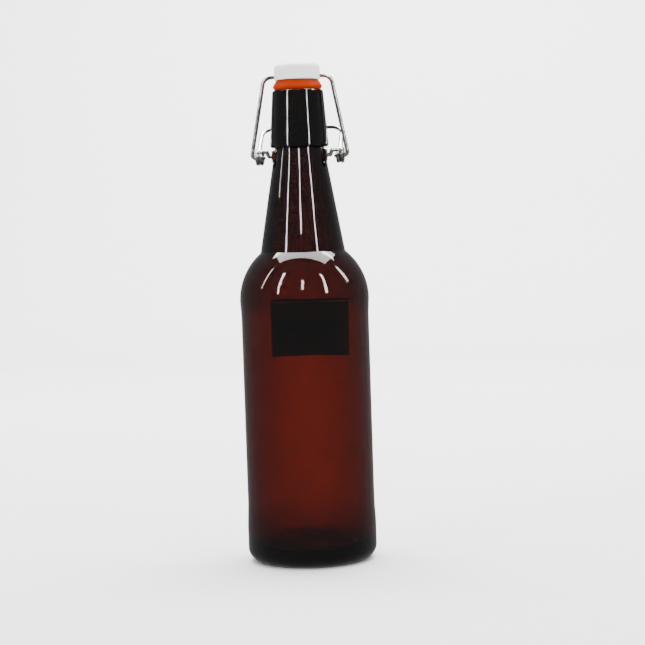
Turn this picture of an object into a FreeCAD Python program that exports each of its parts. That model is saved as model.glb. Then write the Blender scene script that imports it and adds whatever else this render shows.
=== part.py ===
import FreeCAD, Part
import math
import os

import Sketcher

# Swing top bottle, 500 ml.  Millimetres, +Z up, origin at the centre of the base on the
# resting plane.  The neck pivots lie on +X and -X, the lever's handle is on the +Y side.

os.makedirs("parts", exist_ok=True)
doc = FreeCAD.newDocument("SwingTopBottle")

# ---------------------------------------------------------------- driving dimensions
SIZES = {
    # glass, outside
    "punt_height": 4.0,
    "ring_inner": 25.5,
    "ring_outer": 27.5,
    "heel_bend": 7.5,
    "bulge_radius": 35.0,
    "panel_radius": 34.5,
    "lower_bulge_top": 20.0,
    "panel_low": 31.0,
    "panel_high": 133.0,
    "shoulder_start": 141.5,
    "shoulder_bend": 33.5,
    "neck_foot_radius": 22.9,
    "neck_foot_height": 167.26,
    "neck_top_radius": 13.3,
    "neck_top_height": 223.5,
    "skirt_radius": 15.8,
    "skirt_height": 224.4,
    "finish_radius": 13.8,
    "finish_round": 1.0,
    "lip_height": 254.0,
    # glass, inside
    "mouth_radius": 8.0,
    "mouth_round": 1.0,
    "throat_height": 226.0,
    "inner_foot_radius": 19.0,
    "inner_foot_height": 166.0,
    "inner_shoulder_bend": 30.1,
    "inner_radius": 31.6,
    "inner_heel_bend": 8.0,
    "floor_thickness": 6.0,
    "floor_rise": 3.5,
    # pivot bosses on the neck
    "pivot_height": 219.0,
    "boss_radius": 3.2,
    "boss_face": 14.9,
    "boss_root": 10.5,
    "socket_radius": 1.18,
    "socket_bottom": 11.6,
    # wires
    "wire_radius": 1.1,
    "bar_height": 261.6,
    "bar_corner": 18.1,
    "bar_bend": 5.0,
    "pin_corner": 26.2,
    "pin_bend": 2.0,
    "pin_end": 19.6,
    "pin_back": 0.6,
    "pin_height": 218.4,
    "coil_radius": 3.4,
    "coil_inner": 20.85,
    "coil_pitch": 2.1,
    "coil_back": 0.885,
    "coil_drop": 0.8,
    "arm_offset": 22.0,
    "arm_length": 23.9,
    "handle_bend": 7.0,
    "handle_rise": 34.0,
    "pivot_end": 11.9,
    "pivot_bend": 16.6,
    "riser_top": 17.8,
    # stopper and gasket
    "head_radius": 12.3,
    "head_bottom": 259.6,
    "head_top": 268.0,
    "head_round": 2.4,
    "cross_hole_radius": 1.17,
    "stem_radius": 3.6,
    "button_radius": 5.2,
    "button_bottom": 256.8,
    "button_thickness": 1.4,
    "gasket_bottom": 254.05,
    "gasket_foot_radius": 12.2,
    "gasket_radius": 13.3,
    "gasket_wide_height": 255.7,
    "gasket_top_radius": 11.2,
    "gasket_gap": 0.05,
    "recess_radius": 6.0,
    # label
    "label_gap": 0.03,
    "label_thickness": 0.15,
    "label_low": 108.5,
    "label_high": 140.5,
    "label_angle": 86.0,
}

sheet = doc.addObject("Spreadsheet::Sheet", "Sizes")
for row, (alias, value) in enumerate(SIZES.items(), start=1):
    sheet.set("A%d" % row, alias)
    sheet.set("B%d" % row, str(value))
    sheet.setAlias("B%d" % row, alias)
doc.recompute()


def bound(expression):
    """The expression with every alias written as a cell of the sheet."""
    words = expression.replace("(", " ( ").replace(")", " ) ").split()
    return " ".join("Sizes." + word if word in SIZES else word for word in words)


def measure(expression):
    """The value that an expression over the sheet has now."""
    return float(sheet.evalExpression(bound(expression)))


# ---------------------------------------------------------------- sketch helpers
def plane_of(body, role):
    for feature in body.Origin.OriginFeatures:
        if feature.Role == role:
            return feature
    raise ValueError(role)


def new_body(label):
    body = doc.addObject("PartDesign::Body", label)
    body.Label = label
    return body


def new_sketch(body, name, role):
    sketch = body.newObject("Sketcher::SketchObject", name)
    sketch.AttachmentSupport = [(plane_of(body, role), "")]
    sketch.MapMode = "FlatFace"
    return sketch


def arc_between(start, end, radius, bulge):
    """The short arc from start to end; bulge +1 turns left along the way, -1 right."""
    middle = (start + end) * 0.5
    half = (end - start).Length / 2
    across = FreeCAD.Vector(-(end - start).y, (end - start).x, 0).normalize()
    centre = middle + across * (bulge * math.sqrt(max(radius ** 2 - half ** 2, 0)))
    first, last = (start, end) if bulge > 0 else (end, start)
    angle_a = math.atan2(first.y - centre.y, first.x - centre.x)
    angle_b = math.atan2(last.y - centre.y, last.x - centre.x)
    if angle_b < angle_a:
        angle_b += 2 * math.pi
    circle = Part.Circle(centre, FreeCAD.Vector(0, 0, 1), radius)
    return Part.ArcOfCircle(circle, angle_a, angle_b)


def draw(sketch, stations, closed=True):
    """Draws the outline through the stations and binds each one to the sheet.

    A station is (across, up) or (across, up, bend, bulge), where bend and bulge give the
    radius and the turning side of the arc that leaves it.
    """
    points = [FreeCAD.Vector(measure(s[0]), measure(s[1]), 0) for s in stations]
    count = len(points) if closed else len(points) - 1
    ends = []
    for i in range(count):
        start = points[i]
        end = points[(i + 1) % len(points)]
        if len(stations[i]) == 2:
            sketch.addGeometry(Part.LineSegment(start, end), False)
            ends.append((1, 2))
        else:
            radius = measure(stations[i][2])
            sketch.addGeometry(arc_between(start, end, radius, stations[i][3]), False)
            ends.append((1, 2) if stations[i][3] > 0 else (2, 1))
    for i in range(count):
        following = (i + 1) % count
        if closed or following:
            corner = (i, ends[i][1], following, ends[following][0])
            sketch.addConstraint(Sketcher.Constraint("Coincident", *corner))
    for i, station in enumerate(stations):
        geometry, position = (i, ends[i][0]) if i < count else (count - 1, ends[-1][1])
        for kind, axis, expression in (("DistanceX", -2, station[0]), ("DistanceY", -1, station[1])):
            value = measure(expression)
            if abs(value) < 1e-9:
                on_axis = Sketcher.Constraint("PointOnObject", geometry, position, axis)
                sketch.addConstraint(on_axis)
                continue
            # a distance is kept positive: its two ends change places on the negative side
            pair = (-1, 1, geometry, position) if value > 0 else (geometry, position, -1, 1)
            sign = "" if value > 0 else "-1 * "
            index = sketch.addConstraint(Sketcher.Constraint(kind, *pair, abs(value)))
            name = "%s_%d" % ("across" if axis == -2 else "up", i)
            sketch.renameConstraint(index, name)
            sketch.setExpression("Constraints." + name, sign + "( " + bound(expression) + " )")
        if i < count and len(station) == 4:
            radius = Sketcher.Constraint("Radius", i, measure(station[2]))
            index = sketch.addConstraint(radius)
            sketch.renameConstraint(index, "bend_%d" % i)
            sketch.setExpression("Constraints.bend_%d" % i, bound(station[2]))


def turned(body, name, stations, kind="PartDesign::Revolution"):
    """A body of revolution about Z from a closed outline in the XZ plane."""
    sketch = new_sketch(body, name + "Outline", "XZ_Plane")
    draw(sketch, stations)
    turn = body.newObject(kind, name)
    turn.Profile = sketch
    turn.ReferenceAxis = (sketch, ["V_Axis"])
    turn.Angle = 360
    doc.recompute()
    return turn


def rod(body, name, start, end, radius="wire_radius", kind="PartDesign::AdditiveCylinder"):
    """A cylinder between two points whose coordinates are expressions over the sheet."""
    low = FreeCAD.Vector(*[measure(c) for c in start])
    high = FreeCAD.Vector(*[measure(c) for c in end])
    piece = body.newObject(kind, name)
    piece.Placement = FreeCAD.Placement(low, FreeCAD.Rotation(FreeCAD.Vector(0, 0, 1), high - low))
    piece.Height = (high - low).Length
    piece.setExpression("Radius", bound(radius))
    for axis, expression in zip("xyz", start):
        piece.setExpression("Placement.Base." + axis, bound(expression))
    doc.recompute()
    return piece


def ball(body, name, centre):
    """A sphere of the wire's radius that rounds a bend or an end."""
    piece = body.newObject("PartDesign::AdditiveSphere", name)
    piece.setExpression("Radius", bound("wire_radius"))
    for axis, expression in zip("xyz", centre):
        piece.setExpression("Placement.Base." + axis, bound(expression))
    doc.recompute()
    return piece


def bent_wire(body, name, stations, role, profile_role, offset, centre):
    """A round wire swept along an open path; its section lies on profile_role, offset along it."""
    path = new_sketch(body, name + "Path", role)
    draw(path, stations, closed=False)
    section = new_sketch(body, name + "Section", profile_role)
    section.setExpression("AttachmentOffset.Base.z", bound(offset))
    place = FreeCAD.Vector(measure(centre[0]), measure(centre[1]), 0)
    circle = Part.Circle(place, FreeCAD.Vector(0, 0, 1), measure("wire_radius"))
    section.addGeometry(circle, False)
    index = section.addConstraint(Sketcher.Constraint("Radius", 0, measure("wire_radius")))
    section.renameConstraint(index, "wire")
    section.setExpression("Constraints.wire", bound("wire_radius"))
    doc.recompute()
    pipe = body.newObject("PartDesign::AdditivePipe", name)
    pipe.Profile = section
    pipe.Spine = (path, [])
    doc.recompute()
    return pipe


# ---------------------------------------------------------------- glass bottle
bottle = new_body("bottle")
turned(bottle, "Glass", [
    ("0", "punt_height"),
    ("ring_inner", "0.6"),
    ("ring_inner + 1", "0"),
    ("ring_outer", "0", "heel_bend", 1),
    ("bulge_radius", "heel_bend"),
    ("bulge_radius", "lower_bulge_top"),
    ("panel_radius", "panel_low"),
    ("panel_radius", "panel_high"),
    ("bulge_radius", "shoulder_start", "shoulder_bend", 1),
    ("neck_foot_radius", "neck_foot_height"),
    ("neck_top_radius", "neck_top_height"),
    ("skirt_radius - 0.6", "neck_top_height"),
    ("skirt_radius", "skirt_height"),
    ("finish_radius", "lip_height - finish_round", "finish_round", 1),
    ("finish_radius - finish_round", "lip_height"),
    ("mouth_radius + mouth_round", "lip_height", "mouth_round", 1),
    ("mouth_radius", "lip_height - mouth_round"),
    ("mouth_radius", "throat_height"),
    ("inner_foot_radius", "inner_foot_height", "inner_shoulder_bend", -1),
    ("inner_radius", "shoulder_start"),
    ("inner_radius", "floor_thickness + inner_heel_bend", "inner_heel_bend", -1),
    ("inner_radius - inner_heel_bend", "floor_thickness"),
    ("0", "floor_thickness + floor_rise"),
])
for side, word in ((1, "Right"), (-1, "Left")):
    root = ("%d * boss_root" % side, "0", "pivot_height")
    face = ("%d * boss_face" % side, "0", "pivot_height")
    floor_point = ("%d * socket_bottom" % side, "0", "pivot_height")
    outside = ("%d * ( boss_face + 2 )" % side, "0", "pivot_height")
    rod(bottle, "Boss" + word, root, face, "boss_radius")
    before = bottle.Shape.Volume
    rod(bottle, "Socket" + word, floor_point, outside, "socket_radius", "PartDesign::SubtractiveCylinder")
    if bottle.Shape.Volume >= before:
        raise RuntimeError("the pivot socket cuts nothing")

# ---------------------------------------------------------------- stopper
stopper = new_body("stopper")
turned(stopper, "Head", [
    ("0", "button_bottom"),
    ("button_radius - 0.4", "button_bottom", "0.4", 1),
    ("button_radius", "button_bottom + 0.4"),
    ("button_radius", "button_bottom + button_thickness"),
    ("stem_radius", "button_bottom + button_thickness"),
    ("stem_radius", "head_bottom"),
    ("head_radius - 0.3", "head_bottom"),
    ("head_radius", "head_bottom + 0.3"),
    ("head_radius", "head_top - head_round", "head_round", 1),
    ("head_radius - head_round", "head_top"),
    ("0", "head_top"),
])
before = stopper.Shape.Volume
rod(stopper, "CrossHole", ("-1 * head_radius - 1", "0", "bar_height"),
    ("head_radius + 1", "0", "bar_height"), "cross_hole_radius", "PartDesign::SubtractiveCylinder")
if stopper.Shape.Volume >= before:
    raise RuntimeError("the cross hole cuts nothing")

# ---------------------------------------------------------------- gasket
gasket = new_body("gasket")
turned(gasket, "Ring", [
    ("recess_radius", "gasket_bottom"),
    ("gasket_foot_radius", "gasket_bottom"),
    ("gasket_radius", "gasket_wide_height"),
    ("gasket_radius", "gasket_wide_height + 0.6"),
    ("gasket_top_radius", "head_bottom - gasket_gap"),
    ("stem_radius + gasket_gap", "head_bottom - gasket_gap"),
    ("stem_radius + gasket_gap", "button_bottom + button_thickness + gasket_gap"),
    ("recess_radius", "button_bottom + button_thickness + gasket_gap"),
])

# ---------------------------------------------------------------- bail (upper wire)
# Drawn upright with the pins at its origin, then leaned so that the bar is over the mouth.
bail = new_body("bail")
rise = "( bar_height - pin_height )"
leg_slope = math.atan2(measure("pin_corner - bar_corner"), measure("bar_height - pin_height"))
bar_cut = measure("bar_bend") * math.tan((math.pi / 2 - leg_slope) / 2)
pin_cut = measure("pin_bend") * math.tan((math.pi / 2 + leg_slope) / 2)
leg_x = math.sin(leg_slope)
leg_z = math.cos(leg_slope)
bail_stations = [
    ("-1 * pin_end", "0"),
    ("-1 * pin_corner + %.5f" % pin_cut, "0", "pin_bend", -1),
    ("-1 * pin_corner + %.5f" % (pin_cut * leg_x), "%.5f" % (pin_cut * leg_z)),
    ("-1 * bar_corner - %.5f" % (bar_cut * leg_x), rise + " - %.5f" % (bar_cut * leg_z), "bar_bend", -1),
    ("-1 * bar_corner + %.5f" % bar_cut, rise),
    ("bar_corner - %.5f" % bar_cut, rise, "bar_bend", -1),
    ("bar_corner + %.5f" % (bar_cut * leg_x), rise + " - %.5f" % (bar_cut * leg_z)),
    ("pin_corner - %.5f" % (pin_cut * leg_x), "%.5f" % (pin_cut * leg_z), "pin_bend", -1),
    ("pin_corner - %.5f" % pin_cut, "0"),
    ("pin_end", "0"),
]
bent_wire(bail, "BailWire", bail_stations, "XZ_Plane", "YZ_Plane", "-1 * pin_end", ("0", "0"))
for side, word in ((1, "Right"), (-1, "Left")):
    ball(bail, "PinEnd" + word, ("%d * pin_end" % side, "0", "0"))
lean = math.degrees(math.atan2(measure("pin_back"), measure("bar_height - pin_height")))
bail.Placement = FreeCAD.Placement(
    FreeCAD.Vector(0, measure("pin_back"), measure("pin_height")),
    FreeCAD.Rotation(FreeCAD.Vector(1, 0, 0), lean))

# ---------------------------------------------------------------- lever (lower wire)
# Drawn with the neck pivots at its origin and the handle level behind them, then raised.
lever = new_body("lever")
reach = "( coil_back + arm_length )"
lever_stations = [
    ("-1 * arm_offset", "coil_back"),
    ("-1 * arm_offset", reach + " - handle_bend", "handle_bend", -1),
    ("-1 * arm_offset + handle_bend", reach),
    ("arm_offset - handle_bend", reach, "handle_bend", -1),
    ("arm_offset", reach + " - handle_bend"),
    ("arm_offset", "coil_back"),
]
# the handle's plane touches the top of the coils
handle_level = "( coil_radius - coil_drop )"
handle = new_sketch(lever, "HandlePath", "XY_Plane")
handle.setExpression("AttachmentOffset.Base.z", bound(handle_level))
draw(handle, lever_stations, closed=False)
section = new_sketch(lever, "HandleSection", "XZ_Plane")
section.setExpression("AttachmentOffset.Base.z", "-1 * " + bound("coil_back"))
section_centre = FreeCAD.Vector(-measure("arm_offset"), measure("coil_radius - coil_drop"), 0)
section.addGeometry(Part.Circle(section_centre, FreeCAD.Vector(0, 0, 1), measure("wire_radius")), False)
doc.recompute()
handle_pipe = lever.newObject("PartDesign::AdditivePipe", "Handle")
handle_pipe.Profile = section
handle_pipe.Spine = (handle, [])
doc.recompute()
for side, word in ((1, "Right"), (-1, "Left")):
    for turn in range(2):
        coil = lever.newObject("PartDesign::AdditiveTorus", "Coil%s%d" % (word, turn))
        coil.setExpression("Radius1", bound("coil_radius"))
        coil.setExpression("Radius2", bound("wire_radius"))
        across = "%d * ( coil_inner + %d * coil_pitch )" % (side, turn)
        spin = FreeCAD.Rotation(FreeCAD.Vector(0, 1, 0), 90)
        coil.Placement = FreeCAD.Placement(FreeCAD.Vector(0, 0, 0), spin)
        coil.setExpression("Placement.Base.x", bound(across))
        coil.setExpression("Placement.Base.y", bound("coil_back"))
        coil.setExpression("Placement.Base.z", bound("-1 * coil_drop"))
        doc.recompute()
    top = ("%d * coil_inner" % side, "coil_back", handle_level)
    knee = ("%d * riser_top" % side, "0.7 * coil_back", handle_level)
    elbow = ("%d * pivot_bend" % side, "0", "0")
    tip = ("%d * pivot_end" % side, "0", "0")
    rod(lever, "Link" + word, top, knee)
    ball(lever, "Knee" + word, knee)
    rod(lever, "Riser" + word, knee, elbow)
    ball(lever, "Elbow" + word, elbow)
    rod(lever, "Pivot" + word, elbow, tip)
lever.Placement = FreeCAD.Placement(
    FreeCAD.Vector(0, 0, measure("pivot_height")),
    FreeCAD.Rotation(FreeCAD.Vector(1, 0, 0), measure("handle_rise")))

# ---------------------------------------------------------------- rear label
# A film that follows the panel and then the slope of the upper bulge.
label = new_body("label")
bulge_share = "( label_high - panel_high ) / ( shoulder_start - panel_high )"
inner_top = "panel_radius + ( bulge_radius - panel_radius ) * " + bulge_share + " + label_gap"
wrap = turned(label, "Film", [
    ("panel_radius + label_gap", "label_low"),
    ("panel_radius + label_gap + label_thickness", "label_low"),
    ("panel_radius + label_gap + label_thickness", "panel_high"),
    (inner_top + " + label_thickness", "label_high"),
    (inner_top, "label_high"),
    ("panel_radius + label_gap", "panel_high"),
])
wrap.setExpression("Angle", bound("label_angle"))
spin = FreeCAD.Rotation(FreeCAD.Vector(0, 0, 1), 90 - measure("label_angle") / 2)
label.Placement = FreeCAD.Placement(FreeCAD.Vector(0, 0, 0), spin)

# ---------------------------------------------------------------- check and write
doc.recompute()
for item in doc.Objects:
    if "Invalid" in item.State or "Error" in item.State:
        raise RuntimeError("%s failed: %s" % (item.Name, item.State))
for piece in (bottle, stopper, gasket, bail, lever, label):
    shape = piece.Shape
    if shape.isNull() or not shape.isValid():
        raise RuntimeError(piece.Label + " is not a valid shape")
    if len(shape.Solids) != 1:
        raise RuntimeError("%s has %d solids" % (piece.Label, len(shape.Solids)))
    shape.exportStep("parts/%s.step" % piece.Label)
    box = shape.BoundBox
    print("%-8s volume %9.1f mm3  x %.2f..%.2f  y %.2f..%.2f  z %.2f..%.2f" % (
        piece.Label, shape.Volume, box.XMin, box.XMax, box.YMin, box.YMax, box.ZMin, box.ZMax))
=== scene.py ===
# %% [markdown]
# # A swing top bottle
# The bottle is amber glass, closed by a white moulded stopper with an orange rubber gasket.
# Two bent steel wires hold the stopper: a bail over its head, and a lever with a handle at
# the back of the neck. The solid parts already exist in a shared frame, in metres, and this
# lesson gives them their finishes, adds the small moulded details, and sets up the studio.

import math

import bmesh
import bpy
from mathutils import Matrix, Vector


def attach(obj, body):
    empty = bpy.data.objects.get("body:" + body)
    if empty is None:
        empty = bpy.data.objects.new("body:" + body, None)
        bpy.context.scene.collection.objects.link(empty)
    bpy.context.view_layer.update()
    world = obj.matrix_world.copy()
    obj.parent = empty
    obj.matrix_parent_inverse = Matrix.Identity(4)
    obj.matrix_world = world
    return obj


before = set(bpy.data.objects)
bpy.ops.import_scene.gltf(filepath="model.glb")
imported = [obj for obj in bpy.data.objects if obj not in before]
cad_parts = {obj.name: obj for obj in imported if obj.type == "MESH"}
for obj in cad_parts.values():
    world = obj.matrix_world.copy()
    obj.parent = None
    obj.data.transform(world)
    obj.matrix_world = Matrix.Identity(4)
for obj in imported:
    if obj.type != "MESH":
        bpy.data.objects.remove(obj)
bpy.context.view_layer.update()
print("nodes:", sorted(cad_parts))

# %% [markdown]
# Shader maths reads best as ordinary arithmetic. A small class wraps one socket of a node
# tree, and its operators add the Math nodes. The reflected forms let a plain number stand on
# the left, as in 1 - mask. Everything that is not arithmetic comes from one method that adds
# a node by its type.


# %% Socket arithmetic
class Wire:
    """One output socket of a material's node tree, with arithmetic."""

    def __init__(self, finish, socket):
        self.finish = finish
        self.socket = socket

    def maths(self, operation, first, second):
        return self.finish.node("ShaderNodeMath", {"operation": operation}, [first, second])

    def __add__(self, other):
        return self.maths("ADD", self, other)

    def __radd__(self, other):
        return self.maths("ADD", other, self)

    def __sub__(self, other):
        return self.maths("SUBTRACT", self, other)

    def __rsub__(self, other):
        return self.maths("SUBTRACT", other, self)

    def __mul__(self, other):
        return self.maths("MULTIPLY", self, other)

    def __rmul__(self, other):
        return self.maths("MULTIPLY", other, self)


# %% [markdown]
# A finish is a material and its Principled shader. Numbers that are the same all over the
# surface are set on the shader's own sockets, and only what varies is linked.


# %% Finishes
class Finish:
    """A material with a Principled shader and a short way to add nodes."""

    def __init__(self, name, **uniform):
        self.material = bpy.data.materials.new(name)
        self.material.use_nodes = True
        self.tree = self.material.node_tree
        self.shader = self.tree.nodes["Principled BSDF"]
        self.output = self.tree.nodes["Material Output"]
        for socket, value in uniform.items():
            self.shader.inputs[socket.replace("_", " ")].default_value = value

    def node(self, kind, settings=None, sockets=None, output=0):
        """Adds a node: settings first, then its sockets as values or wires."""
        node = self.tree.nodes.new(kind)
        for name, value in (settings or {}).items():
            if name == "stops":
                ramp = node.color_ramp.elements
                while len(ramp) < len(value):
                    ramp.new(0.5)
                for element, (place, colour) in zip(ramp, value):
                    element.position = place
                    element.color = (*colour, 1)
            else:
                setattr(node, name, value)
        pairs = sockets.items() if isinstance(sockets, dict) else enumerate(sockets or [])
        for key, value in pairs:
            self.plug(node.inputs[key], value)
        return Wire(self, node.outputs[output])

    def plug(self, socket, value):
        if isinstance(value, Wire):
            self.tree.links.new(value.socket, socket)
        else:
            socket.default_value = value

    def place(self):
        return self.node("ShaderNodeTexCoord", output="Object")

    def stretched(self, x, y, z):
        """The place on the piece, stretched: a small number draws the pattern out."""
        return self.node("ShaderNodeMapping", None, {"Vector": self.place(), "Scale": (x, y, z)})

    def noise(self, place, scale, detail=3.0, roughness=0.5):
        wires = {"Vector": place, "Scale": scale, "Detail": detail, "Roughness": roughness}
        return self.node("ShaderNodeTexNoise", None, wires)

    def ramp(self, factor, stops):
        return self.node("ShaderNodeValToRGB", {"stops": stops}, {"Fac": factor})

    def bump(self, height, strength, distance):
        wires = {"Height": height, "Strength": strength, "Distance": distance}
        return self.node("ShaderNodeBump", None, wires)

    def surface(self, **linked):
        for socket, wire in linked.items():
            self.plug(self.shader.inputs[socket.replace("_", " ")], wire)
        return self.material


# %% [markdown]
# Bottle glass is not perfect. It is pressed and blown, so its surface rolls gently in long
# upright waves, its colour drifts with the thickness, and handling leaves a faint haze. The
# amber itself sits inside the wall, so most of the colour comes from absorption: the thick
# finish and base turn nearly black and the thin panel glows. The surface adds a weak tint.

# %% Amber glass
amber = Finish("amber glass", Transmission_Weight=1.0, IOR=1.5)
long_waves = amber.noise(amber.stretched(1, 1, 0.22), 55.0, 2.0)
fine_waves = amber.noise(amber.place(), 260.0, 3.0)
cloud = amber.noise(amber.stretched(1, 1, 0.4), 24.0, 3.0)
amber_tint = amber.ramp(cloud, [(0.35, (0.93, 0.72, 0.50)), (0.65, (0.98, 0.84, 0.62))])
haze = amber.noise(amber.place(), 90.0, 5.0, 0.6)
amber.surface(
    Base_Color=amber_tint,
    Roughness=haze * 0.006,
    Normal=amber.bump(long_waves + fine_waves * 0.03, 0.12, 0.0012),
)
ABSORBED = 1240.0
depth = amber.tree.nodes.new("ShaderNodeVolumeAbsorption")
depth.inputs["Color"].default_value = (0.52, 0.17, 0.0, 1)
depth.inputs["Density"].default_value = ABSORBED
amber.tree.links.new(depth.outputs["Volume"], amber.output.inputs["Volume"])
print("amber glass ready")

# %% [markdown]
# The wire is drawn through a die, which leaves fine lines along it, and then bent, which
# scuffs it. It is bright metal, a little uneven in gloss, with darker patches that are partly grime and
# partly painted reflection: its colour is painted darker than bare steel to stand in for the dark
# surroundings a wire mirrors.

# %% Drawn steel wire
steel = Finish("drawn steel", Metallic=1.0)
die_lines = steel.noise(steel.stretched(1, 1, 0.06), 2400.0, 4.0)
scuffs = steel.noise(steel.place(), 420.0, 6.0, 0.65)
grime_and_painted_reflection = steel.noise(steel.place(), 150.0, 5.0, 0.6)
# painted reflection: the dark end of this ramp, spread by the noise, darkens the steel below its bare
# colour to stand in for dark mirrored surroundings; part of it is grime
steel_colour_with_painted_reflection = steel.ramp(grime_and_painted_reflection, [(0.32, (0.20, 0.19, 0.18)), (0.55, (0.56, 0.55, 0.535))])
steel.surface(
    Base_Color=steel_colour_with_painted_reflection,
    Roughness=0.08 + scuffs * 0.14,
    Normal=steel.bump(die_lines + scuffs * 0.6, 0.25, 0.00008),
)
print("drawn steel ready")

# %% [markdown]
# The stopper is a milky moulded plastic. Light sinks in a little, so it has a weak
# subsurface glow, and the mould leaves a fine even texture with a few flow marks.

# %% Milky plastic
milk = Finish("milky plastic", Subsurface_Weight=0.35, Subsurface_Scale=0.004, IOR=1.49)
milk.shader.inputs["Subsurface Radius"].default_value = (1.0, 0.8, 0.7)
flow = milk.noise(milk.stretched(1, 1, 2.5), 90.0, 4.0)
mould_grain = milk.noise(milk.place(), 2600.0, 2.0)
milk_colour = milk.ramp(flow, [(0.3, (0.80, 0.775, 0.75)), (0.7, (0.87, 0.855, 0.84))])
milk.surface(
    Base_Color=milk_colour,
    Roughness=0.30 + flow * 0.16,
    Normal=milk.bump(mould_grain + flow * 1.5, 0.18, 0.00006),
)
print("milky plastic ready")

# %% [markdown]
# The gasket is a soft orange rubber with a dull bloom and tiny pores. Its colour is strong,
# and it darkens slightly where it has been squeezed and rubbed.

# %% Orange rubber
rubber = Finish("orange rubber", IOR=1.5, Specular_IOR_Level=0.05)
bloom = rubber.noise(rubber.place(), 240.0, 5.0, 0.6)
pores = rubber.noise(rubber.place(), 1900.0, 3.0, 0.7)
rubber_colour = rubber.ramp(bloom, [(0.3, (0.24, 0.016, 0.0)), (0.7, (0.32, 0.026, 0.0))])
rubber.surface(
    Base_Color=rubber_colour,
    Roughness=0.42 + bloom * 0.22,
    Normal=rubber.bump(pores + bloom, 0.3, 0.0001),
)
print("orange rubber ready")

# %% [markdown]
# The label at the back is a dark film. It is matt, a little mottled where the adhesive
# underneath has not wetted the glass, and it carries no printing.

# %% Dark film
film = Finish("dark label film", IOR=1.45)
mottle = film.noise(film.place(), 130.0, 5.0, 0.6)
fibres = film.noise(film.stretched(1, 1, 0.2), 1500.0, 4.0)
film_colour = film.ramp(mottle, [(0.3, (0.010, 0.007, 0.006)), (0.7, (0.030, 0.020, 0.016))])
film.surface(
    Base_Color=film_colour,
    Roughness=0.55 + fibres * 0.2,
    Normal=film.bump(fibres + mottle, 0.25, 0.00008),
)
print("dark film ready")

# %% [markdown]
# The carried-over parts keep their shapes. Each one gets its finish in its material slots.

# %% Dress the parts
FINISHES = {
    "bottle": amber,
    "stopper": milk,
    "gasket": rubber,
    "bail": steel,
    "lever": steel,
    "label": film,
}
for node, finish in FINISHES.items():
    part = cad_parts[node]
    for slot in part.material_slots:
        slot.material = finish.material
    print(node, "has", len(part.data.polygons), "faces, finish:", finish.material.name)

# %% [markdown]
# A bottle stands on a bearing ring that the mould stipples with tiny raised knobs. They keep
# the hot base off the conveyor. Each knob is a low glass bead on the heel, set out by a loop.

# %% Heel stipple
HEEL_BEND = 0.0075
HEEL_CENTRE = 0.0275
KNOB_COUNT = 72
KNOB_SIZE = 0.00055
ROWS = (14, 24, 34)
stipple_mesh = bpy.data.meshes.new("heel_stipple")
stipple_shape = bmesh.new()
for row, tilt in enumerate(ROWS):
    slope = math.radians(tilt)
    reach = HEEL_CENTRE + HEEL_BEND * math.sin(slope)
    height = HEEL_BEND * (1 - math.cos(slope)) + KNOB_SIZE * 0.4
    for knob in range(KNOB_COUNT):
        around = 2 * math.pi * (knob + row / 2) / KNOB_COUNT
        spot = Vector((reach * math.cos(around), reach * math.sin(around), height))
        settle = Matrix.Translation(spot) @ Matrix.Rotation(around, 4, "Z")
        settle = settle @ Matrix.Rotation(math.pi - slope, 4, "Y")
        flatten = Matrix.Diagonal((1.0, 1.5, 0.55, 1.0))
        bmesh.ops.create_icosphere(
            stipple_shape, subdivisions=2, radius=KNOB_SIZE, matrix=settle @ flatten)
for face in stipple_shape.faces:
    face.smooth = True
stipple_shape.to_mesh(stipple_mesh)
stipple_shape.free()
stipple = bpy.data.objects.new("heel_stipple", stipple_mesh)
bpy.context.scene.collection.objects.link(stipple)
knob_glass = Finish("knob glass", IOR=1.5, Transmission_Weight=0.6)
knob_cloud = knob_glass.noise(knob_glass.place(), 300.0, 3.0)
knob_tint = knob_glass.ramp(knob_cloud, [(0.3, (0.05, 0.012, 0.002)), (0.7, (0.14, 0.04, 0.008))])
stipple_mesh.materials.append(knob_glass.surface(Base_Color=knob_tint, Roughness=0.05 + knob_cloud * 0.1))
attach(stipple, "bottle")
print("heel knobs:", len(ROWS) * KNOB_COUNT)

# %% [markdown]
# The studio is a pale table that sweeps up into a pale wall. Long upright soft boxes give
# the glass its thin vertical highlights, and a bright field behind it makes the amber glow.


# %% Studio
def plain_finish(name, colour, roughness):
    """A stage finish with a faint unevenness."""
    stage_finish = Finish(name)
    patches = stage_finish.noise(stage_finish.place(), 3.0, 2.0)
    darker = tuple(channel * 0.985 for channel in colour)
    tone = stage_finish.ramp(patches, [(0.3, darker), (0.7, colour)])
    return stage_finish.surface(Base_Color=tone, Roughness=roughness + patches * 0.1)


SWEEP_WIDTH = 6.0
SWEEP_FRONT = -2.5
SWEEP_BACK = 2.2
SWEEP_BEND = 0.8
SWEEP_TOP = 3.2
sweep_line = [(SWEEP_FRONT, 0.0), (SWEEP_BACK - SWEEP_BEND, 0.0)]
BEND_STEPS = 16
for step in range(1, BEND_STEPS + 1):
    turn = math.pi / 2 * step / BEND_STEPS
    along = SWEEP_BACK - SWEEP_BEND + SWEEP_BEND * math.sin(turn)
    sweep_line.append((along, SWEEP_BEND * (1 - math.cos(turn))))
sweep_line.append((SWEEP_BACK, SWEEP_TOP))
sweep_mesh = bpy.data.meshes.new("sweep")
half = SWEEP_WIDTH / 2
corners = [(x, y, z) for y, z in sweep_line for x in (-half, half)]
quads = [(2 * i, 2 * i + 1, 2 * i + 3, 2 * i + 2) for i in range(len(sweep_line) - 1)]
sweep_mesh.from_pydata(corners, [], quads)
sweep_mesh.polygons.foreach_set("use_smooth", [True] * len(quads))
sweep = bpy.data.objects.new("studio_sweep", sweep_mesh)
bpy.context.scene.collection.objects.link(sweep)
sweep_mesh.materials.append(plain_finish("pale sweep", (0.83, 0.825, 0.83), 0.5))
# the sweep lights the bottle from behind but is kept out of its mirror reflections
sweep.visible_glossy = False


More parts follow.
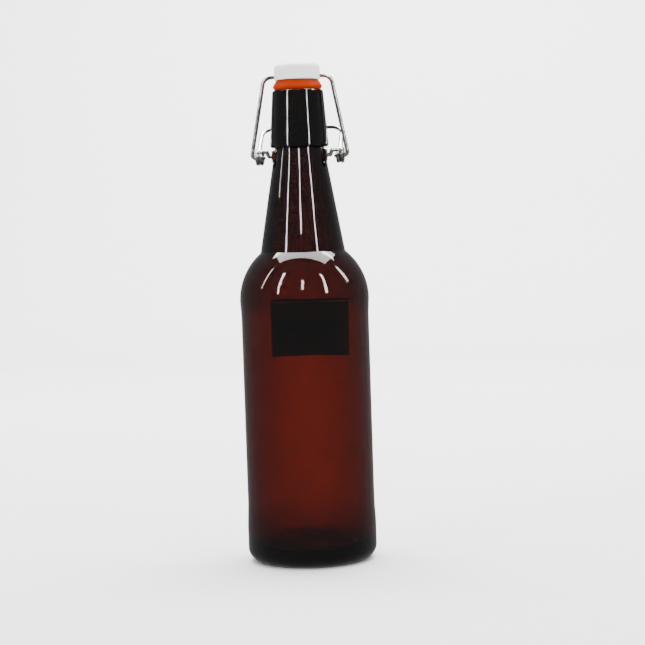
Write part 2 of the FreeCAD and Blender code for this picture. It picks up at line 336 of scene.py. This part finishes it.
def soft_box(name, place, aim, width, height, power):
    """A rectangular lamp that faces its aim point."""
    lamp = bpy.data.lights.new(name, "AREA")
    lamp.shape = "RECTANGLE"
    lamp.size = width
    lamp.size_y = height
    lamp.energy = power
    holder = bpy.data.objects.new(name, lamp)
    holder.location = place
    facing = Vector(aim) - Vector(place)
    holder.rotation_euler = facing.to_track_quat("-Z", "Y").to_euler()
    bpy.context.scene.collection.objects.link(holder)


middle = (0, 0, 0.15)
# name, place, width, height and power of the boxes that draw the upright highlights
STRIPS = [
    ("left strip", (-0.75, -0.85, 0.78), 0.07, 0.84, 9),
    ("left edge strip", (-1.10, -0.25, 0.85), 0.05, 0.7, 3),
    ("right strip", (0.80, -0.75, 0.74), 0.07, 0.76, 7),
    ("right edge strip", (1.15, 0.15, 0.90), 0.10, 0.6, 5),
    ("front strip", (0.10, -1.60, 1.05), 0.12, 0.6, 7),
]
for name, place, width, height, power in STRIPS:
    soft_box(name, place, middle, width, height, power)
soft_box("ceiling", (0.0, 0.5, 1.9), (0, 0.4, 0), 2.2, 1.4, 120)
soft_box("wall wash", (0.0, 0.7, 1.9), (0, 2.2, 0.5), 2.4, 0.6, 150)

world = bpy.data.worlds.new("studio air")
world.use_nodes = True
world.node_tree.nodes["Background"].inputs["Color"].default_value = (0.92, 0.93, 0.95, 1)
AIR_SEEN = 2.0
AIR_MIRRORED = 0.30
air = world.node_tree.nodes["Background"].inputs["Strength"]
ray = world.node_tree.nodes.new("ShaderNodeLightPath")
seen = world.node_tree.nodes.new("ShaderNodeMath")
seen.operation = "MAXIMUM"
strength = world.node_tree.nodes.new("ShaderNodeMapRange")
strength.inputs["To Min"].default_value = AIR_MIRRORED
strength.inputs["To Max"].default_value = AIR_SEEN
world.node_tree.links.new(ray.outputs["Is Camera Ray"], seen.inputs[0])
world.node_tree.links.new(ray.outputs["Is Transmission Ray"], seen.inputs[1])
world.node_tree.links.new(seen.outputs[0], strength.inputs["Value"])
world.node_tree.links.new(strength.outputs["Result"], air)
bpy.context.scene.world = world
print("studio ready")

# %% [markdown]
# The camera stands a little to the right of the front and slightly above half height, looks
# down a few degrees, and leans a touch, so the bottle tips very slightly to the left.

# %% Camera
CAMERA_DISTANCE = 0.950
CAMERA_HEIGHT = 0.1816
CAMERA_AZIMUTH = math.radians(6)
CAMERA_PITCH = math.radians(3.2)
CAMERA_LEAN = math.radians(1.9)
CAMERA_SIDESTEP = 0.0093
CAMERA_LENS = 97.9
forward = Vector((-math.sin(CAMERA_AZIMUTH), math.cos(CAMERA_AZIMUTH), 0))
rightward = Vector((math.cos(CAMERA_AZIMUTH), math.sin(CAMERA_AZIMUTH), 0))
stand = -forward * CAMERA_DISTANCE + rightward * CAMERA_SIDESTEP + Vector((0, 0, CAMERA_HEIGHT))
look = forward * math.cos(CAMERA_PITCH) - Vector((0, 0, math.sin(CAMERA_PITCH)))
level_up = rightward.cross(look)
up = level_up * math.cos(CAMERA_LEAN) + rightward * math.sin(CAMERA_LEAN)
across = look.cross(up)
lens = bpy.data.cameras.new("studio camera")
lens.lens = CAMERA_LENS
lens.clip_start = 0.01
camera = bpy.data.objects.new("studio_camera", lens)
camera.matrix_world = Matrix.Translation(stand) @ Matrix((across, up, -look)).transposed().to_4x4()
bpy.context.scene.collection.objects.link(camera)
bpy.context.scene.camera = camera
print("camera at", tuple(round(c, 4) for c in stand))
